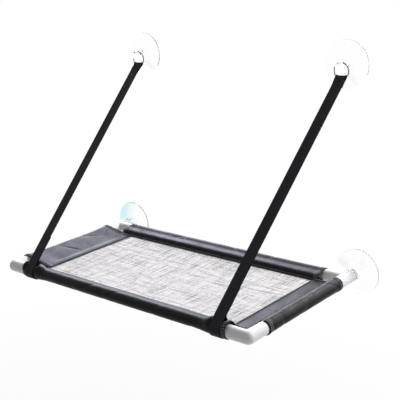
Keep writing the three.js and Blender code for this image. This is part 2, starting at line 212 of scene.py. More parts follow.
def mend(mesh: bpy.types.Mesh, closed: bool) -> None:
    """Welds a closed shell and turns its faces outwards; rids a sheet of points that no face uses."""
    shell = bmesh.new()
    shell.from_mesh(mesh)
    if closed:
        bmesh.ops.remove_doubles(shell, verts=shell.verts, dist=WELD)
        bmesh.ops.recalc_face_normals(shell, faces=shell.faces)
    else:
        unused = [point for point in shell.verts if not point.link_faces]
        bmesh.ops.delete(shell, geom=unused, context="VERTS")
    shell.to_mesh(mesh)
    shell.free()


def stitches(
    place: Callable[[Array, Array], Array], face: float, paths: Sequence[Array], pitch: float, thick: float
) -> tuple[Array, Array]:
    """Lays thread along paths as separate stitches.

    A stitch is a thin tube whose middle rises out of the cloth by its own thickness and whose ends sink in:
    its height at share w of its length is thick·(1.1 - 2.4·(2w - 1)²), and its radius narrows to its ends.

    Args:
        place: turns an array of the surface's two coordinates and an array of heights into places.
        face: the height of the face that the thread lies on.
        paths: each a row of corner points in the surface's two coordinates.
        pitch: distance from one stitch to the next.
        thick: the thread's radius.

    Returns:
        The points and the faces of all the stitches.
    """
    rings, sides = 6, 6
    middles, headings = [], []
    for path in paths:
        far = run_lengths(path)
        count = max(1, round(far[-1] / pitch))
        at = (np.arange(count) + 0.5) * (far[-1] / count)
        middle, ahead = (stack(*(np.interp(q, far, axis) for axis in path.T)) for q in (at, at + pitch / 9))
        middles.append(middle)
        headings.append(unit(ahead - middle))
    middle, heading = np.concatenate(middles)[:, None], np.concatenate(headings)[:, None]
    share = np.linspace(-1, 1, rings)
    where = middle + heading * share[:, None] * (0.4 * pitch)
    height = np.broadcast_to(face + thick * (1.1 - 2.4 * share**2), where.shape[:2])
    centre = place(where, height)
    forward = place(where + heading * (0.1 * pitch), height) - centre
    up = place(where, height + thick) - centre
    aside = unit(np.cross(forward, up))
    turn = full_turn(sides)[:, None]
    ring = np.cos(turn) * unit(up)[..., None, :] + np.sin(turn) * aside[..., None, :]
    radius = thick * np.sqrt(1 - 0.8 * share**2)
    points = centre[..., None, :] + radius[:, None, None] * ring
    tube, shift = capped(rings, sides), np.arange(len(middle))[:, None, None] * (rings * sides)
    quads, ends = (np.array(part) + shift for part in (tube[:-2], tube[-2:]))
    return points, [*quads.reshape(-1, 4).tolist(), *ends.reshape(-1, sides).tolist()]


# ---- finishes


def linear(code: str) -> tuple[float, float, float, float]:
    """An sRGB hex colour as the linear colour that Blender's sockets take."""
    shares = (int(code[i : i + 2], 16) / 255 for i in (1, 3, 5))
    red, green, blue = (s / 12.92 if s <= 0.04045 else ((s + 0.055) / 1.055) ** 2.4 for s in shares)
    return red, green, blue, 1.0


def add_node(tree: bpy.types.NodeTree, kind: str, inputs: dict | None = None, **settings: object) -> Node:
    """Adds a node to a tree.

    Args:
        tree: the node tree.
        kind: the node's type name, without the ShaderNode that starts it.
        inputs: socket name or number to a value, or to the socket or node that feeds it. A node feeds from
            the first of its outputs that is in use.
        settings: the node's own properties.

    Returns:
        The node.
    """
    node = tree.nodes.new("ShaderNode" + kind)
    for name, value in settings.items():
        setattr(node, name, value)
    for name, value in (inputs or {}).items():
        if isinstance(value, Node):
            value = next(output for output in value.outputs if output.enabled)
        if isinstance(value, bpy.types.NodeSocket):
            tree.links.new(value, node.inputs[name])
        else:
            node.inputs[name].default_value = value
    return node


def empty_tree(owner: bpy.types.Material | bpy.types.World) -> AddNode:
    """Empties the node tree of a material or a world, and returns what adds nodes to it."""
    owner.use_nodes = True
    owner.node_tree.nodes.clear()
    return partial(add_node, owner.node_tree)


def noise(add: AddNode, where: object, scale: float, detail: float = 2.0) -> Node:
    """Adds a cloudy pattern, finer for a greater scale."""
    return add("TexNoise", {"Vector": where, "Scale": scale, "Detail": detail})


def bands(add: AddNode, where: object, pitch: float, way: str = "X") -> Node:
    """Adds rounded bands, one each pitch: Blender's wave repeats after π / (10·scale)."""
    return add("TexWave", {"Vector": where, "Scale": math.pi / 10 / pitch}, bands_direction=way)


def plain_weave(add: AddNode, where: object, yarn: float, ways: str) -> tuple[object, Node]:
    """Adds what tells which of two yarns is on top at each crossing, and the relief of the yarns."""
    over = add("TexChecker", {"Vector": where, "Scale": 1 / yarn}).outputs[1]
    first, second = (bands(add, where, yarn, way) for way in ways)
    return over, add("Mix", {0: over, 2: first, 3: second})


def ramp(add: AddNode, value: object, start: float, end: float, low: float = 0, high: float = 1) -> Node:
    """Adds a value that runs from low to high as another runs from start to end."""
    ends = {"From Min": start, "From Max": end, "To Min": low, "To Max": high}
    return add("MapRange", {"Value": value, **ends})


def combine(add: AddNode, operation: str, *values: object) -> Node:
    """Adds a calculation with up to three values."""
    return add("Math", dict(enumerate(values)), operation=operation)


def blend(add: AddNode, share: object, *colours: object) -> Node:
    """Adds a mix of two colours, each a hex code or a node."""
    first, second = (linear(c) if isinstance(c, str) else c for c in colours)
    return add("Mix", {0: share, 6: first, 7: second}, data_type="RGBA")


def bump(add: AddNode, height: object, depth: float) -> Node:
    """Adds a relief of a depth in millimetres."""
    return add("Bump", {"Height": height, "Distance": depth * MM})


@dataclass(frozen=True)
class Finish:
    """A surface finish: what the real one is made of, with a name to be found by."""

    name: str
    roughness: float = 0.5
    ior: float = 1.5
    level: float = 0.5  # how strongly it shines face on: 0.5 is what the IOR alone gives
    woven: bool = False  # its pattern follows the cloth, in millimetres, or else lies in space, in metres

    def material(self) -> bpy.types.Material:
        """The finish as a material, made once."""
        found = bpy.data.materials.get(self.name)
        if found:
            return found
        material = bpy.data.materials.new(self.name)
        add = empty_tree(material)
        where = add("UVMap", uv_map="cloth") if self.woven else add("TexCoord").outputs["Object"]
        plain = {"Roughness": self.roughness, "IOR": self.ior, "Specular IOR Level": self.level}
        add("OutputMaterial", {"Surface": add("BsdfPrincipled", plain | self.surface(add, where))})
        return material

    def surface(self, add: AddNode, where: object) -> Sockets:
        """Adds the pattern's nodes.

        Args:
            add: adds a node to the material's tree.
            where: the socket or node of the places that the pattern follows.

        Returns:
            The shader's sockets, each with its value or the node that feeds it.
        """
        raise NotImplementedError

    def dress(self, *pieces: Piece) -> None:
        """Gives the finish to pieces, in place of whatever they have."""
        for piece in pieces:
            piece.data.materials.clear()
            piece.data.materials.append(self.material())

    def put_on(self, piece: Piece, slot: str, body: str, node: str = "") -> Piece:
        """Dresses a new piece, hides the CAD node it replaces, and puts it on the body it rides on."""
        self.dress(piece)
        if node:
            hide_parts(node)
        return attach(piece, body)


@dataclass(frozen=True)
class MouldedPlastic(Finish):
    """White rigid PVC, injection moulded: even, bright, with soft highlights and a faint flow texture."""

    light: str = "#fbfbfa"
    warm: str = "#f4f2ef"
    roughness: float = 0.4
    ior: float = 1.53
    level: float = 0.3

    def surface(self, add: AddNode, where: object) -> Sockets:
        """Sets a white with faint 15 mm clouds, and the 1.5 mm ripple that a mould leaves."""
        ripple = noise(add, where, 650.0, 3.0)
        return {
            "Base Color": blend(add, noise(add, where, 65.0), self.light, self.warm),
            "Roughness": ramp(add, ripple, *NOISE, self.roughness - 0.04, self.roughness + 0.05),
            "Normal": bump(add, ripple, 0.04),
        }


@dataclass(frozen=True)
class CoatedCloth(Finish):
    """Black woven polyester with a thin coating: dark face on, and a pale sheen seen at a glance."""

    dark: str = "#040405"
    light: str = "#0e0d11"
    roughness: float = 0.41
    level: float = 0.11
    woven: bool = True
    yarn: float = 1.8  # millimetres; the real one is about 0.4, too fine to show
    worn: float = 45.0  # millimetres across the soft patches where the coating is creased

    def surface(self, add: AddNode, where: object) -> Sockets:
        """Sets a near black with slow clouds, a plain weave of crossing yarns, and a creased coating."""
        _, weave = plain_weave(add, where, self.yarn, "XY")
        clouds = noise(add, where, 1 / self.worn, 4.0)
        tone = ramp(add, combine(add, "MULTIPLY_ADD", weave, 0.35, clouds), 0.35, 0.95)
        relief = combine(add, "MULTIPLY_ADD", noise(add, where, 0.45), 1.6, weave)
        return {
            "Base Color": blend(add, tone, self.dark, self.light),
            "Roughness": ramp(add, clouds, *NOISE, self.roughness - 0.07, self.roughness + 0.07),
            "Normal": bump(add, relief, 0.05),
        }


@dataclass(frozen=True)
class OpenWeave(Finish):
    """Pale coated yarns in an open plain weave: a heathered grey white with darker threads both ways."""

    pale: str = "#f6f3ed"
    middle: str = "#dad7d3"
    dark: str = "#858287"
    roughness: float = 0.6
    level: float = 0.15
    woven: bool = True
    yarn: float = 2.0  # millimetres; the real one is about 1.2, too fine to show
    streak: float = 85.0  # millimetres along a yarn from one tone to the next
    speck: float = 0.09  # how much the crossings differ from one another

    def surface(self, add: AddNode, where: object) -> Sockets:
        """Sets the tone of each yarn, which changes along it, which of two is on top, and their relief."""
        scaled = add("VectorMath", {0: where, 1: (1 / self.yarn,) * 3}, operation="MULTIPLY")
        number = add("VectorMath", {0: scaled}, operation="FLOOR")
        slow, apart, tones = 1 / self.streak, 7.3, []  # apart: from one yarn's noise to the next one's
        for along, step, far in (((slow, 0, 0), (0, apart, 0), 0), ((0, slow, 0), (apart, 0, 0), 50)):
            row = add("VectorMath", {0: number, 1: step, 2: (0, 0, far)}, operation="MULTIPLY_ADD")
            spot = add("VectorMath", {0: where, 1: along, 2: row}, operation="MULTIPLY_ADD")
            tones.append(add("TexNoise", {"Vector": spot, "Scale": 1.0, "Detail": 3.0, "Roughness": 0.6}))
        over, shape = plain_weave(add, where, self.yarn, "YX")
        top = add("Mix", {0: over, 2: tones[0], 3: tones[1]})
        either = add("Mix", {0: 0.55, 2: top, 3: combine(add, "MAXIMUM", *tones)})
        tone = combine(add, "MULTIPLY_ADD", add("TexWhiteNoise", {"Vector": number}), self.speck, either)
        soft = blend(add, ramp(add, tone, 0.47, 0.6), self.pale, self.middle)
        return {
            "Base Color": blend(add, ramp(add, tone, 0.58, 0.68), soft, self.dark),
            "Normal": bump(add, shape, 0.25),
        }


@dataclass(frozen=True)
class Webbing(Finish):
    """Black polypropylene webbing: matt, with fine ribs that step from one column of yarns to the next, and
    the ribs' crests painted a lighter blue grey as painted sheen.
    """

    dark: str = "#0c0c11"
    # painted sheen: the blue grey painted on the ribs' crests
    light: str = "#282a35"
    roughness: float = 0.6
    level: float = 0.16
    woven: bool = True
    rib: float = 3.0  # millimetres along the strap; the real one is about 1, too fine to show
    column: float = 3.6  # millimetres across it

    def surface(self, add: AddNode, where: object) -> Sockets:
        """Sets ribs whose yarns step by half a rib from one column to the next; the colour follows their
        height, lighter on the crests as painted sheen and darker in the grooves as painted shade, broken up
        by random tone.
        """
        cells = add("VectorMath", {0: where, 1: (1 / self.rib, 1 / self.column, 1.0)}, operation="MULTIPLY")
        over = add("TexChecker", {"Vector": cells, "Scale": 1.0}).outputs[1]
        ribs = bands(add, where, self.rib)
        height = add("Mix", {0: over, 2: ribs, 3: combine(add, "SUBTRACT", 1.0, ribs)})
        # painted sheen and shade: the colour rises with the ribs' height, times random tone
        tone = combine(add, "MULTIPLY", height, noise(add, where, 0.09, 3.0))
        return {"Base Color": blend(add, tone, self.dark, self.light), "Normal": bump(add, height, 0.2)}


@dataclass(frozen=True)
class SpunThread(Finish):
    """Spun polyester sewing thread: matt and twisted, so that it shows as slanting bands."""

    dark: str = "#18171c"
    light: str = "#3b3942"
    roughness: float = 0.7
    twist: float = 0.5  # millimetres from one turn to the next

    def surface(self, add: AddNode, where: object) -> Sockets:
        """Sets the slanting bands of the thread's twist."""
        turns = bands(add, where, self.twist * MM, "DIAGONAL")
        return {"Base Color": blend(add, turns, self.dark, self.light), "Normal": bump(add, turns, 0.05)}


@dataclass(frozen=True)
class PlatedSteel(Finish):
    """Nickel plated spring steel wire: bright, with fine drawing marks and a little wear."""

    colour: str = "#727378"
    worn: str = "#4a4b50"
    roughness: float = 0.16

    def surface(self, add: AddNode, where: object) -> Sockets:
        """Sets a metal whose colour and roughness vary over 3 mm, with drawing marks 0.25 mm wide."""
        wear = ramp(add, noise(add, where, 300.0, 4.0), 0.5, 0.75)
        return {
            "Base Color": blend(add, wear, self.colour, self.worn),
            "Metallic": 1.0,
            "Roughness": combine(add, "MULTIPLY_ADD", wear, 0.14, self.roughness),
            "Normal": bump(add, noise(add, where, 4000.0), 0.02),
        }


@dataclass(frozen=True)
class ClearVinyl(Finish):
    """Clear soft PVC, pressed and polished: see-through, with faint grey edges and a faint waviness."""

    # the colour of a painted reflection, on the side where X is low; here the same as the clear body, so
    # nothing is painted
    tint: str = "#fefefe"
    clear: str = "#fefefe"
    roughness: float = 0.04
    reflection_full_at: float = 0.0  # X in metres where the painted reflection is full
    reflection_gone_at: float = 1.0  # and where it has gone

    def surface(self, add: AddNode, where: object) -> Sockets:
        """Sets a clear body with a painted reflection colour that fades along X, and slow 8 mm waves on the
        surface.
        """
        share = ramp(add, add("SeparateXYZ", {0: where}).outputs[0], self.reflection_full_at, self.reflection_gone_at)
        waves = noise(add, where, 120.0)
        return {
            "Base Color": blend(add, share, self.tint, self.clear),
            "Roughness": ramp(add, waves, *NOISE, self.roughness, self.roughness + 0.05),
            "Transmission Weight": 1.0,
            "Normal": bump(add, waves, 0.1),
        }


WHITE_PVC = MouldedPlastic("white_pvc_moulded")
BLACK_CLOTH = CoatedCloth("black_polyester_coated")
PALE_WEAVE = OpenWeave("pale_coated_open_weave")
BLACK_WEBBING = Webbing("black_polypropylene_webbing")
BLACK_THREAD = SpunThread("black_polyester_thread")
# The real thread is black like the rest; this pale grey is painted highlight, the light that the hems'
# stitches catch.
PALE_HIGHLIGHT_THREAD = SpunThread("grey_polyester_thread", dark="#8d8b95", light="#c9c7d0")
NICKEL = PlatedSteel("nickel_plated_steel")
CLEAR_VINYL = ClearVinyl("clear_pvc")
# The blue on the lower left cup's left side is a painted reflection, not a tint of the vinyl.
BLUE_REFLECTION_VINYL = ClearVinyl("clear_pvc_blue_edge", tint="#cdeff8", reflection_full_at=-0.352, reflection_gone_at=-0.312)


# ---- sizes that the parts share


@dataclass(frozen=True)
class BedSizes:
    """Spans between the tubes' centre lines, and the levels of the cover's layers."""

    half_width: float = 325 * MM
    front: float = -383 * MM
    rear: float = -53 * MM
    cloth: float = 0.8 * MM
    sleeve_radius: float = 14.1 * MM
    side_level: float = 0.0  # middle of the cloth of the side bands
    end_level: float = 1.1 * MM  # of the front and rear bands, which lie over them
    panel_level: float = -1.1 * MM
    panel_low: Pair = (-247 * MM, -355 * MM)
    panel_high: Pair = (274 * MM, -91 * MM)


BED = BedSizes()


class Hand(Enum):
    """The two sides of the hammock, as seen from the room, and the way that each lies along X."""

    LEFT = -1
    RIGHT = 1

    @property
    def side(self) -> str:
        """The side's name."""
        return self.name.lower()


# ---- corner fittings


class FittingKind(Enum):
    """The two corner fittings of the frame, and the end where each is."""

    ELBOW = "front"
    TEE = "rear"


@dataclass
class Fitting:
    """A moulded corner fitting with a socket in each leg."""

    kind: FittingKind
    hand: Hand
    radius: float = 13 * MM
    leg: float = 46 * MM
    cup_leg: float = 32 * MM
    crease: float = 2.5 * MM  # radius of the fillet where two legs meet
    lip: float = 1.2 * MM  # radius of the mouth's outer edge
    chamfer: float = 0.5 * MM  # of the mouth's inner edge
    socket: float = 10.3 * MM
    socket_stop: float = 15 * MM
    sides: int = 64

    @property
    def corner(self) -> Array:
        """Where the tubes' centre lines meet."""
        return np.array([self.hand.value * BED.half_width, getattr(BED, self.kind.value)])

    def legs(self) -> list[tuple[Array, float]]:
        """The direction and the length of each leg."""
        across = (np.array([-self.hand.value, 0.0]), self.leg)
        if self.kind is FittingKind.ELBOW:
            return [across, (np.array([0.0, 1.0]), self.leg)]
        return [across, (np.array([0.0, -1.0]), self.leg), (np.array([0.0, 1.0]), self.cup_leg)]

    def leg_surface(self, ahead: Array, length: float, others: list[Array]) -> Array:
        """The skin of one leg, from where it meets the others to the bottom of its socket.

        A point at angle u round the leg lies R·sin u aside and R·cos u up. On a side that has another leg
        the skin starts where the two cylinders meet, |R·sin u| along, and a fillet eases the crease: at
        angle β its point lies f·(1 - sin β) along and f·(1 - cos β) aside of it, with f its radius there.
        """
        aside = np.array([-ahead[1], ahead[0]])
        u = full_turn(self.sides)
        lateral, up = self.radius * np.sin(u), self.radius * np.cos(u)
        side = np.where(lateral >= 0, 1.0, -1.0)
        met = np.array([any(np.allclose(other, s * aside) for other in others) for s in side])
        fillet = np.where(met, self.crease * np.abs(np.sin(u)), 0)
        start = np.where(met, np.abs(lateral), 0)
        beta = np.radians(np.linspace(45, 0, 6))[:, None]
        share = np.linspace(0, 1, 8)[1:, None]
        skin = [
            stack(start + fillet * (1 - np.sin(beta)), lateral + side * fillet * (1 - np.cos(beta)), up),
            stack((start + fillet) * (1 - share) + (length - self.lip) * share, lateral, up),
        ]
        edge = np.radians([22.5, 45, 67.5, 90])
        mouth = stack(length - self.lip * (1 - np.sin(edge)), self.radius - self.lip * (1 - np.cos(edge)))
        inside = [(length, self.socket + self.chamfer), (length - self.chamfer, self.socket)]
        inside += [(self.socket_stop, self.socket), (self.socket_stop, 0.0)]
        for far, radius in [*mouth, *inside]:
            skin.append(stack(far, radius * np.sin(u), radius * np.cos(u))[None])
        along, beside, above = np.split(np.concatenate(skin), 3, axis=-1)
        return np.concatenate([along * ahead + beside * aside + self.corner, above], -1)

    def ball(self, first: Array, second: Array) -> Array:
        """A quarter of a sphere outside an elbow: R·(sin φ·h, cos φ), with h turning between two ways."""
        theta = np.linspace(0, math.pi / 2, 13)[:, None, None]
        phi = full_turn(self.sides)[: self.sides // 2 + 1]
        heading = -(np.cos(theta) * second + np.sin(theta) * first)
        flat = self.radius * np.sin(phi)[:, None] * heading + self.corner
        return stack(flat[..., 0], flat[..., 1], self.radius * np.cos(phi))

    def build(self) -> Piece:
        """Builds the fitting in place of its CAD node."""
        legs = self.legs()
        skins = [self.leg_surface(way, long, [d for d, _ in legs if d is not way]) for way, long in legs]
        if self.kind is FittingKind.ELBOW:
            skins.append(self.ball(legs[0][0], legs[1][0]))
        points, faces, count = [], [], 0
        for skin in skins:
            points.append(skin.reshape(-1, 3))
            faces.append(grid_faces(*skin.shape[:2], wrap=skin.shape[1] == self.sides) + count)
            count += len(points[-1])
        node = f"{self.kind.value}_{self.hand.side}_{self.kind.name.lower()}"
        piece = make_piece(f"{node}_moulding", np.concatenate(points), np.concatenate(faces))
        return WHITE_PVC.put_on(piece, "white_plastic", "bed", node)


# ---- the sewn cover


class Along(Enum):
    """Which way a strip runs, as the direction of its length and that from the tube to its inner edge."""

    FRONT = ((1, 0), (0, 1))
    REAR = ((-1, 0), (0, -1))
    LEFT = ((0, -1), (1, 0))
    RIGHT = ((0, 1), (-1, 0))


@dataclass
class SewnStrip:
    """A strip of black cloth: a flat band beside the panel, a seam, and a sleeve round the tube.

    Its two coordinates are s, along the tube from the crossing tube's centre line, and t, across the cloth
    from the band's inner edge, over the tube and back to the seam underneath.
    """

    along: Along
    band: float  # from the tube's centre line to the band's inner edge
    sleeve_ends: Pair  # from the crossing tubes' centre lines to the ends of the sleeve
    band_ends: Pair  # and of the band
    feet: tuple[float, ...] = ()  # places along the tube of the straps' loops
    seam: float = 22 * MM  # from the tube's centre line to the seam that closes the sleeve
    seam_depth: float = 0.15 * MM
    drawn_in: float = 2.0 * MM  # how much nearer the tube the sleeve's cloth lies in the middle of a span
    seed: int = 1
    bulge: float = 0.0  # how far the cloth between the seam and the top of the tube stands up
    slot_half: float = 14 * MM
    slot_reach: float = 18.8 * MM
    hem: float = 9 * MM
    hem_rise: float = 0.7 * MM
    hem_edge: float = 1.5 * MM  # over which the hem comes down to the cloth
    hem_rows: Pair = (2.4 * MM, 7.2 * MM)  # from an end to its two rows of stitches
    dent: float = 0.25 * MM  # how far those rows sink in
    loose: float = 45 * MM  # past a hem, over which the cloth comes to be drawn in
    thread: float = 0.55 * MM  # radius of the stitches; the real one is about 0.2, too fine to show
    # by default the thread painted pale, as painted highlight on the stitches
    sewn_with: Finish = PALE_HIGHLIGHT_THREAD
    tent: float = 5.5 * MM  # how far the cloth beside a strap is pulled up with it
    tent_edge: float = 2.5 * MM  # over which it rises from the slot
    tent_reach: float = 15 * MM  # and over which it falls again
    crease_every: float = 55 * MM
    cell: float = 2.4 * MM  # size of the sleeve's mesh
    cloth_radius: float = BED.sleeve_radius - BED.cloth / 2
    side: str = field(init=False)
    start: Array = field(init=False)
    length: float = field(init=False)
    profile: Array = field(init=False)
    far: Array = field(init=False)
    width: float = field(init=False)  # of the cloth, from the band's edge to the seam underneath
    seam_at: float = field(init=False)  # the place of the seam across the cloth
    round_at: float = field(init=False)  # where the cloth starts to lie round the tube

    def __post_init__(self) -> None:
        """Works out the strip's place, and its cross section: (inwards, up, normal inwards, normal up)."""
        self.side = self.along.name.lower()
        ways = np.array(self.along.value)
        spans = np.array([2 * BED.half_width, BED.rear - BED.front])
        self.length = float(np.abs(ways[0]) @ spans)
        self.start = np.array([0, (BED.front + BED.rear) / 2]) - ways.sum(0) * spans / 2
        r, seam, level = self.cloth_radius, self.seam, BED.end_level if ways[0][0] else BED.side_level
        turn = math.acos(r / seam)
        touch = (r * math.cos(turn), r * math.sin(turn))
        rise = [(self.band, level), (seam + 0.8 * MM, level), (seam - 1.5 * MM, level + 0.6 * MM), touch]
        top = soften(np.array(rise), 1.2 * MM)[:-1]
        flank = line(top[-1], touch, max(9, round((seam - touch[0]) / self.cell)))
        round_part = arc((0, 0), r, turn, 2 * math.pi - turn, 56)
        under = line(round_part[-1], (seam - 0.4 * MM, level - 1.0 * MM), len(flank) + 1)[1:]
        band_part = line(rise[0], top[1], max(4, round((self.band - seam) / (0.5 * self.cell))))
        section = np.concatenate([band_part, top[1:], flank[1:], round_part, under])
        step = unit(np.gradient(section, axis=0))
        self.profile = np.concatenate([section, stack(step[:, 1], -step[:, 0])], -1)
        self.far = run_lengths(section)
        self.width, self.seam_at = float(self.far[-1]), self.band - seam
        self.round_at = float(self.far[len(band_part) + len(top) + len(flank) - 3])

    def span(self, ends: Pair) -> Pair:
        """Where along the tube a part of the cloth starts and stops."""
        return ends[0], self.length - ends[1]

    def creases(self, s: Array, t: Array) -> Array:
        """Slanting creases: bells across lines that turn round the sleeve as they run along it."""
        draw = np.random.default_rng(self.seed)
        crease = np.zeros(np.broadcast(s, t).shape)
        for _ in range(int(self.length / self.crease_every)):
            place, slant = draw.uniform(40 * MM, self.length - 40 * MM), draw.uniform(-1.6, 1.6)
            deep, wide = draw.uniform(0.3, 1.0) * MM, draw.uniform(3, 7) * MM
            middle, reach = draw.uniform(20 * MM, 75 * MM) + self.seam_at, draw.uniform(14, 30) * MM
            crease -= deep * dip(s - place - slant * (t - middle), wide) * dip(t - middle, reach)
        return crease

    def relief(self, s: Array, t: Array) -> Array:
        """How far the cloth stands out of its plain section.

        The sleeve is creased, drawn in towards its tube away from its ends and the straps, and pulled up
        beside them. The band has slow waves that fade at its edges and grow with its width. At the seam the
        cloth is drawn in, and at share u from there to the tube it bulges by 27/4·u·(1 - u)², which is 1 at
        its highest and level at the tube. The hems stand out.
        """
        past = t - self.seam_at
        on_tube = smooth_step((past - 6 * MM) / (12 * MM))
        waves = sum(np.sin(s / (wave * MM) + k * self.seed) for k, wave in ((1, 17), (2, 41)))
        waves = waves * np.sin(math.pi * np.clip(t / self.seam_at, 0, 1)) * (0.007 * self.seam_at)
        share = np.clip(past / (self.round_at - self.seam_at), 0, 1)
        flank = self.bulge * 27 / 4 * share * (1 - share) ** 2 - self.seam_depth * dip(past, 1.6 * MM)
        edge = np.minimum(s - self.end(t, 0), self.length - self.end(t, 1) - s)
        hem = self.hem_rise * (1 - smooth_step((edge - self.hem) / self.hem_edge))
        rows = sum(dip(edge - row, 0.9 * MM) for row in self.hem_rows)
        pulled = -self.drawn_in * on_tube * smooth_step((edge - self.hem) / self.loose)
        above = smooth_step(np.interp(t, self.far, self.profile[:, 1]) / (12 * MM)) * on_tube
        for foot in self.feet:
            beside = np.abs(s - foot) - self.slot_half
            near = dip(np.maximum(beside - self.tent_edge, 0), self.tent_reach)
            tent = self.tent * above * smooth_step(beside / self.tent_edge) * near
            pulled = pulled * smooth_step(beside / (35 * MM)) + tent
            hem = hem * smooth_step(1 + beside / self.hem_edge)  # flat under the loop
        return on_tube * self.creases(s, t) + pulled + waves + flank + hem - self.dent * rows

    def end(self, t: Array, which: int) -> Array:
        """How far the end lies from the crossing tube's centre line: the band's, then the sleeve's."""
        share = smooth_step((t - self.seam_at + 1.5 * MM) / (3 * MM))
        return self.band_ends[which] * (1 - share) + self.sleeve_ends[which] * share

    def place(self, where: Array, lift: Array) -> Array:
        """Places on the cloth's outer side.

        With (p, h) the cross section at t, moved along its normal by lift plus relief, a point is
        start + s·length + p·inward, h high.
        """
        s, t = where[..., 0], where[..., 1]
        p, h, normal_p, normal_h = (np.interp(t, self.far, column) for column in self.profile.T)
        out = lift + self.relief(s, t)
        length, inward = np.array(self.along.value)
        flat = self.start + s[..., None] * length + (p + normal_p * out)[..., None] * inward
        return np.concatenate([flat, (h + normal_h * out)[..., None]], -1)

    def columns(self) -> Array:
        """Places along the strip: even ones, and the sides of the slots."""
        first, last = self.span(self.sleeve_ends)
        even = np.linspace(first, last, round((last - first) / self.cell) + 1)
        sides = [foot + side * self.slot_half for foot in self.feet for side in (-1, 1)]
        if sides:
            even = even[np.abs(even[:, None] - np.array(sides)).min(1) > MM]
        return np.sort(np.concatenate([even, sides]))

    def slots(self, s: Array, t: Array) -> Array:
        """Where the cloth is cut away, in its two flanks behind the tube, for the straps' loops."""
        p = np.interp(t, self.far, self.profile[:, 0])
        flank = (t > self.seam_at) & (p < self.slot_reach) & (p > self.cloth_radius * 0.72)
        return flank & (sum(np.abs(s - foot) < self.slot_half for foot in self.feet) > 0)

    def build(self) -> list[Piece]:
        """Builds the cloth and its stitching in place of the CAD node."""
        s, t = np.meshgrid(self.columns(), self.far)
        for which, side in ((0, 1), (1, -1)):
            near = 1 - smooth_step(side * (s - self.span(self.sleeve_ends)[which]) / (60 * MM))
            s = s + side * near * (self.end(t, which) - self.sleeve_ends[which])
        where = stack(s, t)
        faces = grid_faces(*s.shape)
        middle = where.reshape(-1, 2)[faces].mean(1)
        faces = faces[~self.slots(middle[:, 0], middle[:, 1])]
        points = self.place(where, np.zeros_like(s))
        cloth = make_piece(f"{self.side}_cover", points, faces, uv=where / MM, closed=False, sharp=70)
        BLACK_CLOTH.put_on(cloth, "black_cloth", "bed", f"{self.side}_sleeve")
        thread = self.stitching()
        band = self.seam_at * (self.length - sum(self.band_ends))
        sleeve = (self.width - self.seam_at) * (self.length - sum(self.sleeve_ends))
        self.length - sum(map(min, self.sleeve_ends, self.band_ends))
        return [cloth, thread]

    def stitching(self) -> Piece:
        """Builds the thread: the band's edge, the seam where it has room, and two rows in each hem."""
        edge = 2.6 * MM
        runs = [(edge, self.band_ends)]
        if self.seam_at > 3 * edge + MM:
            runs.append((self.seam_at, self.sleeve_ends))
        paths = []
        for t, ends in runs:
            first, last = self.span(ends)
            paths.append(np.array([(first + MM, t), (last - MM, t)]))
        across = np.linspace(MM, self.width - MM, 90)
        for row in self.hem_rows:
            paths.append(stack(self.end(across, 0) + row, across))
            paths.append(stack(self.length - self.end(across, 1) - row, across))
        sewn = stitches(self.place, BED.cloth / 2, paths, pitch=3.6 * MM, thick=self.thread)
        thread = make_piece(f"{self.side}_stitching", *sewn)
        return self.sewn_with.put_on(thread, "black_cloth", "bed")


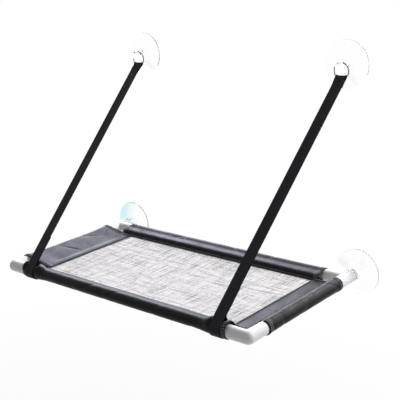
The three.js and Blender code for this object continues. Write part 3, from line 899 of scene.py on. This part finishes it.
@dataclass
class WeavePanel:
    """The pale open-weave sheet in the middle, sewn under the bands, with a piping cord round it."""

    lap: float = 5 * MM
    sag: float = 5 * MM
    cell: float = 4 * MM
    piping_radius: float = 1.1 * MM
    piping_level: float = 0.45 * MM
    piping_inset: float = 0.9 * MM
    piping_sides: int = 10
    corner_radius: float = 2.5 * MM

    def height(self, x: Array, y: Array) -> Array:
        """The sheet's height: its level, less the sag times (1 - u²)(1 - v²), with slow waves."""
        (x0, y0), (x1, y1) = BED.panel_low, BED.panel_high
        u, v = (2 * x - x0 - x1) / (x1 - x0), (2 * y - y0 - y1) / (y1 - y0)
        bowl = np.clip(1 - u**2, 0, 1) * np.clip(1 - v**2, 0, 1)
        waves = 0.25 * MM * np.sin(x / (38 * MM) + 1.0) * np.sin(y / (61 * MM))
        return BED.panel_level - (self.sag - waves) * bowl

    def build(self) -> list[Piece]:
        """Builds the sheet and the piping in place of the CAD node."""
        spans = list(zip(BED.panel_low, BED.panel_high))
        size = tuple(high - low + 2 * self.lap for low, high in spans)
        x, y = np.meshgrid(*(
            np.linspace(low - self.lap, high + self.lap, round(long / self.cell))
            for (low, high), long in zip(spans, size)
        ))  # fmt: skip
        points = stack(x, y, self.height(x, y))
        sheet = make_piece("weave_panel", points, grid_faces(*x.shape), uv=stack(x, y) / MM, closed=False)
        PALE_WEAVE.put_on(sheet, "pale_weave", "bed", "mesh_panel")
        piping = self.piping()
        return [sheet, piping]

    def piping(self) -> Piece:
        """Builds the covered cord along the bands' edges: a circle carried round a rounded rectangle."""
        inset = self.piping_inset + self.corner_radius
        (left, front), (right, rear) = np.array(BED.panel_low) + inset, np.array(BED.panel_high) - inset
        corners = (right, rear), (left, rear), (left, front), (right, front)
        starts = full_turn(4)
        bends = [arc(c, self.corner_radius, a, a + math.pi / 2, 7) for c, a in zip(corners, starts)]
        parts = []
        for bend, after in zip(bends, bends[1:] + bends[:1]):
            count = max(2, round(float(np.linalg.norm(after[0] - bend[-1])) / (6 * MM)))
            parts += [bend, line(bend[-1], after[0], count)[1:]]
        path = np.concatenate(parts)
        heading = unit(np.roll(path, -1, 0) - np.roll(path, 1, 0))
        turn = full_turn(self.piping_sides)
        out, up = self.piping_radius * np.cos(turn), self.piping_radius * np.sin(turn)
        x, y = (path[:, [k]] + out * sign * heading[:, [1 - k]] for k, sign in ((0, 1), (1, -1)))
        points = stack(x, y, self.piping_level + up)
        looped = np.concatenate([points, points[:1]])
        uv = stack(run_lengths(looped[:, 0, :2])[:, None], turn * self.piping_radius) / MM
        faces = grid_faces(len(looped), self.piping_sides, wrap=True)
        return BLACK_CLOTH.put_on(make_piece("panel_piping", looped, faces, uv=uv), "black_cloth", "bed")


# ---- straps and rings


@dataclass
class Strap:
    """A webbing strap looped round the front sleeve and folded over its ring.

    Its two coordinates are q, along the webbing from the end of the lower tail, and w, across it.
    """

    hand: Hand
    foot: float
    top: float
    width: float = 25 * MM
    thickness: float = 1.5 * MM
    spacing: float = 0.8 * MM  # from where the two layers touch to the middle of each
    loop_inner: float = 14.6 * MM
    loop_length: float = 22 * MM
    loop_tail: float = 80 * MM
    ring_tail: float = 26 * MM
    ring_y: float = -21 * MM
    ring_height: float = 405 * MM
    ring_radius: float = 16.3 * MM
    fold: float = 2.3 * MM
    swell: float = 20 * MM  # how far below the ring the two layers start to part
    narrowing: float = 0.045  # share of its width that the webbing loses at the fold
    reach: float = field(init=False)  # from the loop to the ring's lowest point
    path: Array = field(init=False)
    far: Array = field(init=False)
    touch_at: float = field(init=False)  # where along the webbing the loop ends
    fold_at: float = field(init=False)  # and where it is folded

    def __post_init__(self) -> None:
        """Works out the side view: rows of (y, z, normal y, normal z, distance up the slope).

        In its own plane, with the front tube's centre at 0 and the ring's lowest point at (reach,
        loop_inner), the strap runs along height loop_inner, where it touches the loop's circle. The loop's
        second run leaves that circle on a line that meets the strap's inner face at loop_length.
        """
        run = self.ring_y - BED.front
        distance = math.hypot(run, self.ring_height)
        self.reach = math.sqrt(distance**2 - self.loop_inner**2)
        slope = math.atan2(self.ring_height, run) - math.asin(self.loop_inner / distance)
        level, half = self.loop_inner, self.spacing
        radius, back = level + half, level - half
        spread = 2 * math.atan2(self.loop_inner, self.loop_length)
        leave = spread - math.pi / 2
        touch = radius * np.array([math.cos(leave), math.sin(leave)])
        meet = touch[0] + (back - touch[1]) / math.tan(spread)
        parting, tail = self.reach - self.swell, self.reach - self.ring_tail
        share = np.linspace(0, 1, 15)[1:]
        rise = stack(self.reach - self.swell * (1 - share), half + (self.fold - half) * smooth_step(share))
        parts = [
            line((self.loop_tail, back), (meet, back), 24),
            line((meet, back), touch, 16),
            arc((0, 0), radius, 2 * math.pi + leave, math.pi / 2, 44)[:-1],
            line((0, radius), (parting, radius), 170),
            rise[:-1] + (0, level),
            arc((self.reach, level), self.fold, math.pi / 2, -math.pi / 2, 13),
            rise[::-1][1:] * (1, -1) + (0, level),
            line((parting, back), (tail, back), 4),
            np.array([(tail, back)]),
        ]
        flat = np.concatenate(parts)
        flat = flat[np.diff(run_lengths(flat), prepend=-1) > WELD]
        up, off = np.array([(math.cos(slope), math.sin(slope)), (-math.sin(slope), math.cos(slope))])
        side = np.array([BED.front, 0.0]) + flat[:, :1] * up + flat[:, 1:] * off
        step = unit(np.gradient(side, axis=0))
        self.path = np.concatenate([side, stack(-step[:, 1], step[:, 0], flat[:, 0])], -1)
        self.far = run_lengths(side)
        self.touch_at = float(self.far[sum(map(len, parts[:3]))])
        self.fold_at = self.touch_at + self.reach

    def place(self, where: Array, lift: Array) -> Array:
        """Places on the webbing, lift away from its middle towards its outer face.

        The side view is carried across the width. The ring's wire is R - √(R² - w²) higher at w across than
        in the middle. The fold lies at the wire's height at the webbing's edges and takes a fifth of that
        curve. Behind the fold the webbing takes all of it, to go down round the wire. Between the loop and
        the ring the strap leans sideways by an even amount.
        """
        q, w = where[..., 0], where[..., 1]
        y, z, normal_y, normal_z, a = (np.interp(q, self.far, column) for column in self.path.T)
        near = smooth_step((a - self.reach + self.swell) / self.swell)
        w = w * (1 - self.narrowing * near)
        curve, edge = (self.ring_radius - np.sqrt(self.ring_radius**2 - v**2) for v in (w, self.width / 2))
        behind = smooth_step((q - self.fold_at) / (8 * MM)) * near
        ahead = (0.8 * edge + 0.2 * curve) * np.clip(a / self.reach, 0, 1)
        rise = ahead * (1 - behind) + curve * behind
        lean = np.clip((a - self.loop_length) / (self.reach - self.ring_tail - self.loop_length), 0, 1)
        x = self.foot + w + (self.top - self.foot) * lean
        return stack(x, y + normal_y * lift, z + normal_z * lift + rise)

    def build(self) -> list[Piece]:
        """Builds the webbing and its stitching in place of the CAD node."""
        side, half, thick = self.hand.side, self.width / 2, self.thickness / 2
        face = stack(np.linspace(-half + 0.5 * MM, half - 0.5 * MM, 13), thick)
        edge = np.array([(half - 0.12 * MM, thick * 0.6), (half, 0), (half - 0.12 * MM, -thick * 0.6)])
        outline = np.concatenate([face, edge, -face, -edge])
        q, w = np.meshgrid(self.far, outline[:, 0], indexing="ij")
        points = self.place(stack(q, w), np.broadcast_to(outline[:, 1], q.shape))
        webbing = make_piece(f"{side}_webbing", points, capped(*q.shape), uv=stack(q, w) / MM, sharp=60)
        thread = make_piece(f"{side}_strap_stitching", *self.stitching())
        return [
            BLACK_WEBBING.put_on(webbing, "black_webbing", f"{side}_strap", f"{side}_strap"),
            BLACK_THREAD.put_on(thread, "black_webbing", f"{side}_strap"),
        ]

    def stitching(self) -> tuple[Array, Array]:
        """A box of stitches with a cross where each tail is sewn, on both faces."""
        across, gap, end = self.width / 2 - 3 * MM, 3 * MM, float(self.far[-1])
        tail = self.loop_tail - self.loop_length - gap
        front, ring = self.touch_at + self.loop_tail, self.fold_at - self.ring_tail
        loop_boxes = (gap, tail), (front - tail, front - gap)
        ring_boxes = (ring + gap, ring + 5 * gap), (end - 5 * gap, end - gap)
        paths = []
        for low, high in loop_boxes + ring_boxes:
            a, b, c, d = (low, -across), (high, -across), (high, across), (low, across)
            paths += [np.array(pair) for pair in ((a, b), (b, c), (c, d), (d, a), (a, c), (b, d))]
        return stitches(self.place, self.thickness / 2, paths, pitch=2.8 * MM, thick=0.3 * MM)


@dataclass
class SplitRing:
    """A split ring: two turns of flattened wire that lie on each other, with both ends cut square."""

    hand: Hand
    centre: Place
    radius: float = 16.3 * MM
    half_height: float = 1.05 * MM
    half_depth: float = 0.5 * MM
    step: float = 1.12 * MM  # from one turn's middle to the next one's
    ends: Pair = (-168, 540)  # degrees round the ring
    crossing: Pair = (150, 190)  # degrees between which the wire changes turns
    rings: int = 150
    sides: int = 16

    def build(self) -> Piece:
        """Builds the ring in place of its CAD node.

        The wire's middle at angle φ, over two turns, lies R from the centre, and its depth steps smoothly
        from the front turn to the rear one as it passes the place where the ends are. Its section is
        (cos⁴ + sin⁴) to the power -1/4 times (cos, sin), a square with round corners.
        """
        start, stop = (math.radians(v) for v in self.crossing)
        angle = np.linspace(*(math.radians(v) for v in self.ends), self.rings)[:, None]
        turn = full_turn(self.sides)
        square = (np.cos(turn) ** 4 + np.sin(turn) ** 4) ** -0.25
        radius = self.radius + self.half_height * np.cos(turn) * square
        depth = self.step * (smooth_step((angle - start) / (stop - start)) - 0.5)
        y = depth + self.half_depth * np.sin(turn) * square
        points = stack(radius * np.cos(angle), y, radius * np.sin(angle)) + np.array(self.centre)
        side = self.hand.side
        ring = make_piece(f"{side}_split_ring", points, capped(self.rings, self.sides), sharp=50)
        return NICKEL.put_on(ring, "plated_steel", f"{side}_ring", f"{side}_ring")


# ---- suction cups


class CupKind(Enum):
    """The two suction cups: one plugs into the frame, the other carries a ring."""

    LOWER = "lower"
    UPPER = "upper"


@dataclass
class SuctionCup:
    """A clear suction cup: a flared disc with a hollow face, and a hub that ends in a plug or a head."""

    kind: CupKind
    hand: Hand
    centre: Place
    rim: float = 50 * MM
    lip: float = 3 * MM
    edge: float = 1.6 * MM
    hollow: float = 9 * MM
    shoulder: float = 14 * MM
    swell: float = 0.75
    sides: int = 96

    def disc(self, hub: float) -> tuple[Array, Array]:
        """The hollow face from its middle to the lip, and the flared back from the rim to the hub.

        At share x of the way to the lip the hollow is 9·(1 - x²) mm deep. At share x of the way from the
        rim to the hub the back has risen by 12.4·x^0.75 mm over the rim's thickness.
        """
        x = np.linspace(0, 1, 24)
        face = stack((self.rim - self.lip) * x, -self.hollow * (1 - x**2))
        x = x**1.4
        back = self.edge + (self.shoulder - self.edge) * x**self.swell
        return face, stack(self.rim + (hub - self.rim) * x, -back)

    def stem(self) -> list[Pair]:
        """What stands on the disc, as (radius, y) rows: a plug with two barbs, or a neck and its head."""
        if self.kind is CupKind.UPPER:
            hub, neck, head = 12 * MM, 5.5 * MM, 9 * MM
            low, middle, high = -17.5 * MM, -24.5 * MM, -31.5 * MM
            return [(hub, low), (neck, low), (neck, middle), (head, middle), (head, high), (0.0, high)]
        hub, stem, barb, pitch, face = 13 * MM, 8.8 * MM, 10 * MM, 7.5 * MM, -20.7 * MM
        rows = [(hub, face), (stem, face)]
        for start in (face, face - pitch):
            rows += [(stem, start - pitch / 3), (barb, start - pitch / 3), (stem, start - pitch)]
        return [*rows, (0.0, face - 2 * pitch)]

    def build(self) -> Piece:
        """Builds the cup in place of its CAD node, turned about the line through its centre along Y.

        A point of the outline at angle φ is centre + (radius·cos φ, y, radius·sin φ).
        """
        stem = self.stem()
        face, back = self.disc(stem[0][0])
        rim = soften(np.array([face[-1], (self.rim, 0.0), back[0]]), 0.9 * MM)
        hub = soften(np.array([back[-1], *stem]), 1.6 * MM, 6)
        radius, y = np.split(np.concatenate([face[:-1], rim, back[1:-1], hub]), 2, axis=-1)
        turn = full_turn(self.sides)
        points = stack(radius * np.cos(turn), y, radius * np.sin(turn)) + np.array(self.centre)
        kind, side = self.kind.value, self.hand.side
        faces = grid_faces(len(radius), self.sides, wrap=True)
        cup = make_piece(f"{kind}_{side}_suction_cup", points, faces, sharp=50)
        lower = self.kind is CupKind.LOWER
        # the lower left cup gets the painted blue reflection
        vinyl = BLUE_REFLECTION_VINYL if lower and self.hand is Hand.LEFT else CLEAR_VINYL
        body = "bed" if lower else f"upper_{side}_cup"
        return vinyl.put_on(cup, "clear_vinyl", body, f"{kind}_{side}_cup")


# ---- the hammock


@dataclass
class Hammock:
    """The whole hammock, in the order in which it is put together."""

    tubes: tuple[str, ...] = ("front_tube", "rear_tube", "left_tube", "right_tube")
    ring_centre: float = 421.3 * MM
    upper_cup: float = 430.6 * MM
    feet: Pair = (-260 * MM, 260 * MM)
    tops: Pair = (-253 * MM, 297 * MM)

    def frame_parts(self) -> list[Piece]:
        """Dresses the tubes and builds the four fittings."""
        pieces = [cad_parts[name] for name in self.tubes]
        WHITE_PVC.dress(*pieces)
        return pieces + [Fitting(kind, hand).build() for hand in Hand for kind in FittingKind]

    def cover_parts(self) -> list[Piece]:
        """Builds the four strips, the panel and the piping."""
        feet = tuple(x + BED.half_width for x in self.feet)
        front = {"seam": 26 * MM, "feet": feet, "seed": 3}
        rear = {"seam": 35 * MM, "bulge": 5 * MM, "drawn_in": 0.5 * MM, "seed": 5}
        left = {"seam": 75 * MM, "thread": 0.8 * MM, "sewn_with": BLACK_THREAD, "seed": 8}
        right = {"seam_depth": 0.5 * MM, "drawn_in": 0.3 * MM, "seed": 13}
        pieces = []
        for along, band, ends, more in (
            (Along.FRONT, 28, (44, 42, 24, 25), front),
            (Along.REAR, 38, (46, 46, 25, 43), rear),
            (Along.LEFT, 78, (39, 33, 35, 22), left),
            (Along.RIGHT, 51, (48, 30, 22, 30), right),
        ):  # in millimetres: the band's reach, and the ends of the sleeve and of the band
            a, b, c, d = (end * MM for end in ends)
            pieces += SewnStrip(along, band * MM, (a, b), (c, d), **more).build()
        return pieces + WeavePanel().build()

    def hanging_parts(self) -> list[Piece]:
        """Builds the straps, the rings and the four cups."""
        pieces = []
        for hand, foot, top in zip(Hand, self.feet, self.tops):
            strap = Strap(hand, foot, top)
            pieces += strap.build()
            pieces.append(SplitRing(hand, (top, strap.ring_y, self.ring_centre)).build())
            pieces.append(SuctionCup(CupKind.UPPER, hand, (top, 0.0, self.upper_cup)).build())
            pieces.append(SuctionCup(CupKind.LOWER, hand, (hand.value * BED.half_width, 0.0, 0.0)).build())
        return pieces


# ---- studio


@dataclass
class Studio:
    """The pale floor, the soft lights, the white surroundings and the camera."""

    camera_place: Place = (1.1573, -1.4714, 0.6568)
    yaw: float = 40.508  # degrees, as the next two
    pitch: float = 16.297
    roll: float = -2.599
    lens: float = 76.32
    sensor: float = 36.0
    floor_level: float = -0.62
    floor_rings: tuple[float, ...] = (0, 0.5, 1, 2, 4, 9)
    floor_sides: int = 48
    surround: float = 0.26  # strength of the surroundings as a light
    bed: Place = (0.0, -0.2, 0.0)  # what the lamps face

    def camera(self) -> None:
        """Adds the camera: turned by yaw about Z, up from straight down about X, and rolled."""
        data = bpy.data.cameras.new("camera")
        data.lens, data.sensor_width = self.lens, self.sensor
        place = Matrix.Translation(self.camera_place)
        for degrees, axis in ((self.yaw, "Z"), (90 - self.pitch, "X"), (self.roll, "Z")):
            place = place @ Matrix.Rotation(math.radians(degrees), 4, axis)
        camera = add_object("camera", data)
        camera.matrix_world = place
        bpy.context.scene.camera = camera

    def lamp(self, name: str, place: Place, size: Pair, power: float, colour: str) -> None:
        """Adds a soft lamp of a width and a height that faces the bed."""
        data = bpy.data.lights.new(name, "AREA")
        data.shape, data.energy, data.color = "RECTANGLE", power, linear(colour)[:3]
        data.size, data.size_y = size
        aim = (Vector(self.bed) - Vector(place)).to_track_quat("-Z", "Y")
        add_object(name, data).matrix_world = Matrix.Translation(place) @ aim.to_matrix().to_4x4()

    def seen(self, add: AddNode) -> Node:
        """Adds a 1 for what the camera sees, straight, reflected or through the cups, and 0 for light."""
        rays = add("LightPath").outputs
        straight = combine(add, "MAXIMUM", rays["Is Camera Ray"], rays["Is Glossy Ray"])
        return combine(add, "MAXIMUM", straight, rays["Is Transmission Ray"])

    def world(self) -> None:
        """Makes the surroundings white to look at and a plain level as a light."""
        world = bpy.data.worlds.new("surroundings")
        add = empty_tree(world)
        strength = add("Mix", {0: self.seen(add), 2: self.surround, 3: 1.0})
        white = add("Background", {"Color": linear("#ffffff"), "Strength": strength})
        add("OutputWorld", {"Surface": white})
        bpy.context.scene.world = world

    def floor(self) -> None:
        """Adds a round floor that keeps the shadow under the hammock and is white towards its edge."""
        radius, angle = np.array(self.floor_rings)[:, None], full_turn(self.floor_sides)
        points = stack(radius * np.cos(angle), radius * np.sin(angle), self.floor_level)
        floor = make_piece("floor", points, grid_faces(*points.shape[:2], wrap=True))
        material = bpy.data.materials.new("pale_paper_floor")
        add = empty_tree(material)
        middle = add("VectorMath", {0: add("TexCoord").outputs["Object"]}, operation="LENGTH")
        fade = ramp(add, middle.outputs["Value"], 0.75, 1.6, 0.85, 1.0)
        matt = add("BsdfDiffuse", {"Color": linear("#cfcfd0")})
        glow = add("Emission", {"Color": linear("#ffffff"), "Strength": 1.0})
        share = combine(add, "MULTIPLY", fade, self.seen(add))
        add("OutputMaterial", {"Surface": add("MixShader", {0: share, 1: matt, 2: glow})})
        floor.data.materials.append(material)
        floor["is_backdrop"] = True

    def build(self) -> None:
        """Builds the studio and sets the plain view transform."""
        self.camera()
        self.world()
        self.floor()
        self.lamp("top_light", (0.3, 1.8, 1.45), (1.5, 0.6), 42, "#fffdfa")
        self.lamp("right_light", (1.7, 1.7, 1.1), (1.8, 1.8), 46, "#f0f2ff")
        self.lamp("left_light", (-2.05, 1.85, 1.25), (1.8, 1.8), 76, "#e9ebff")
        bpy.context.scene.view_settings.view_transform = "Standard"


def write_sizes() -> None:
    """Works out the CAD model's box and the visual model's box."""
    found = {"cad": CAD_BOX, "visual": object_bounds()}
    boxes = {name: [list(low), list(high)] for name, (low, high) in found.items()}


def main() -> None:
    """Builds the studio and the hammock, and reports each piece."""
    logging.basicConfig(level=logging.INFO, format="%(message)s")
    Studio().build()
    hammock = Hammock()
    for step in (hammock.frame_parts, hammock.cover_parts, hammock.hanging_parts):
        for piece in step():
            LOG.info("%s: %d faces, %s", piece.name, len(piece.data.polygons), piece.data.materials[0].name)
    write_sizes()


if __name__ == "__main__":
    main()
